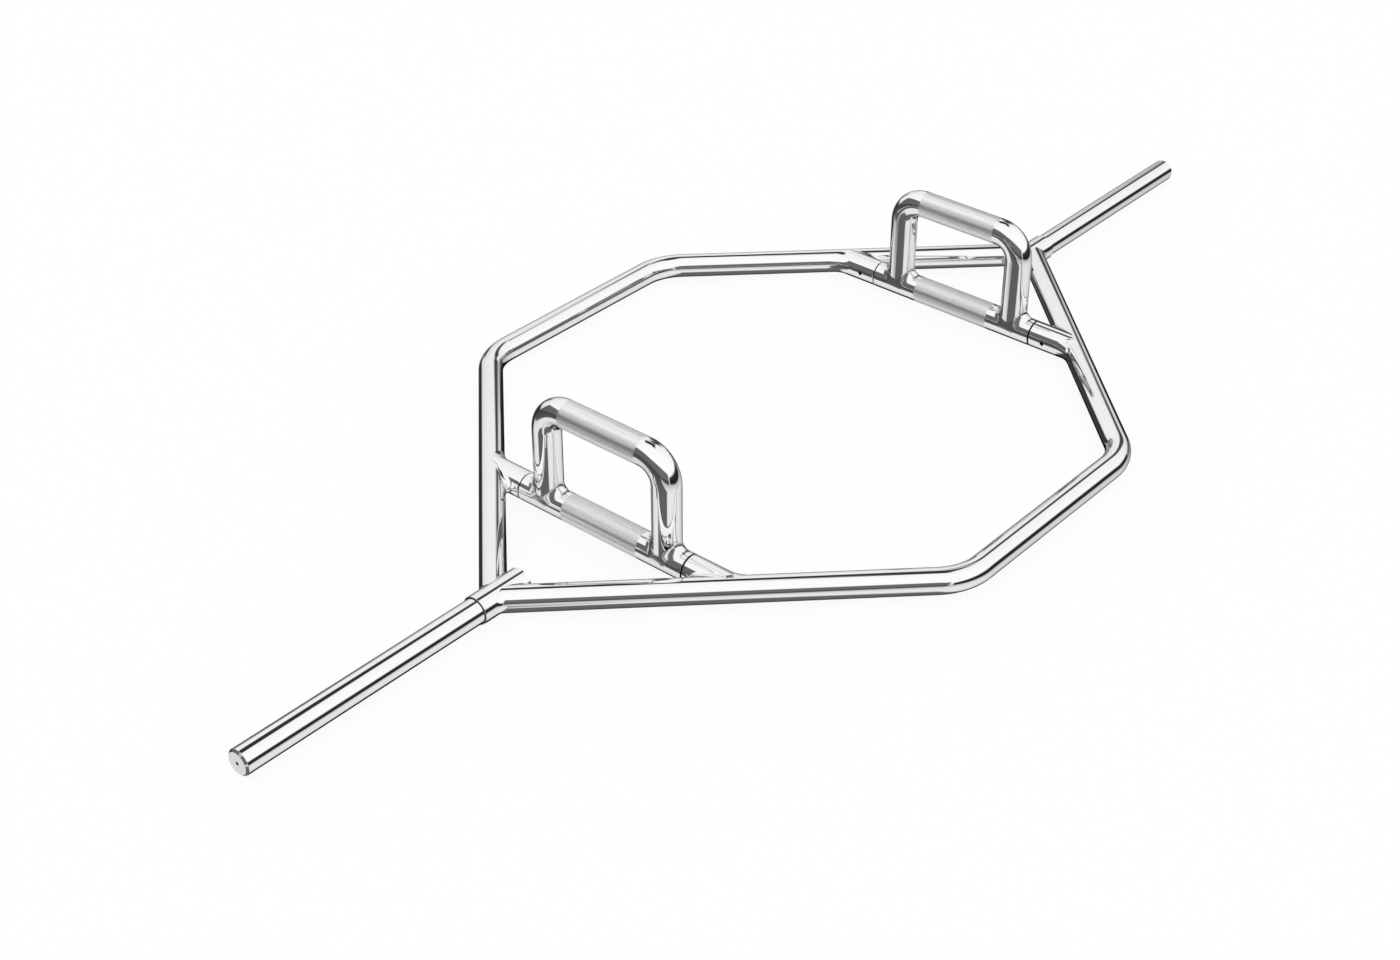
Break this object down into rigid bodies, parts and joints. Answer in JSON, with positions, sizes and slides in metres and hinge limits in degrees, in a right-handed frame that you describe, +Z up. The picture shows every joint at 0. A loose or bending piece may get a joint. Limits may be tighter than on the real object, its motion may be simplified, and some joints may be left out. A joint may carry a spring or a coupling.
{
  "type": "hex trap bar",
  "caption": "Chromed hexagonal trap bar: bent tube frame, straight plate sleeves, and turning handles with a low grip and a raised loop grip, both knurled.",
  "frame": {"origin": "middle of the hexagon, on the floor that the bar lies on", "axes": "+X along the sleeves to the right end, +Y across to the rear tube, +Z up"},
  "size_m": [1.42, 0.6178, 0.1297],
  "materials": {
    "frame_chrome": "bright chrome plate on drawn tube",
    "sleeve_chrome": "bright chrome plate on turned bar",
    "handle_chrome": "bright chrome plate, diamond knurl on the grips",
    "weld_chrome": "dressed weld under chrome plate",
    "bush_bronze": "oiled sintered bronze",
    "pin_steel": "ground steel",
    "screw_black": "black oxide"
  },
  "bodies": {
    "frame": {"front_frame_tube": "frame_chrome", "rear_frame_tube": "frame_chrome", "left_sleeve_socket": "frame_chrome", "left_sleeve": "sleeve_chrome", "left_front_stub": "frame_chrome", "left_front_pivot_pin": "pin_steel", "left_rear_stub": "frame_chrome", "left_rear_pivot_pin": "pin_steel", "right_sleeve_socket": "frame_chrome", "right_sleeve": "sleeve_chrome", "right_front_stub": "frame_chrome", "right_front_pivot_pin": "pin_steel", "right_rear_stub": "frame_chrome", "right_rear_pivot_pin": "pin_steel", "grub_screws": "screw_black"},
    "left_handle": {"left_lower_grip": "handle_chrome", "left_upper_loop": "handle_chrome", "left_loop_welds": "weld_chrome", "left_front_bush": "bush_bronze", "left_rear_bush": "bush_bronze"},
    "right_handle": {"right_lower_grip": "handle_chrome", "right_upper_loop": "handle_chrome", "right_loop_welds": "weld_chrome", "right_front_bush": "bush_bronze", "right_rear_bush": "bush_bronze"}
  },
  "joints": [
    {"name": "left_handle_turn", "type": "hinge", "parent": "frame", "child": "left_handle", "pos_m": [-0.27716, 0, 0.014], "axis": [0, 1, 0], "range_deg": [-67, 247]},
    {"name": "right_handle_turn", "type": "hinge", "parent": "frame", "child": "right_handle", "pos_m": [0.27716, 0, 0.014], "axis": [0, -1, 0], "range_deg": [-67, 247]}
  ]
}
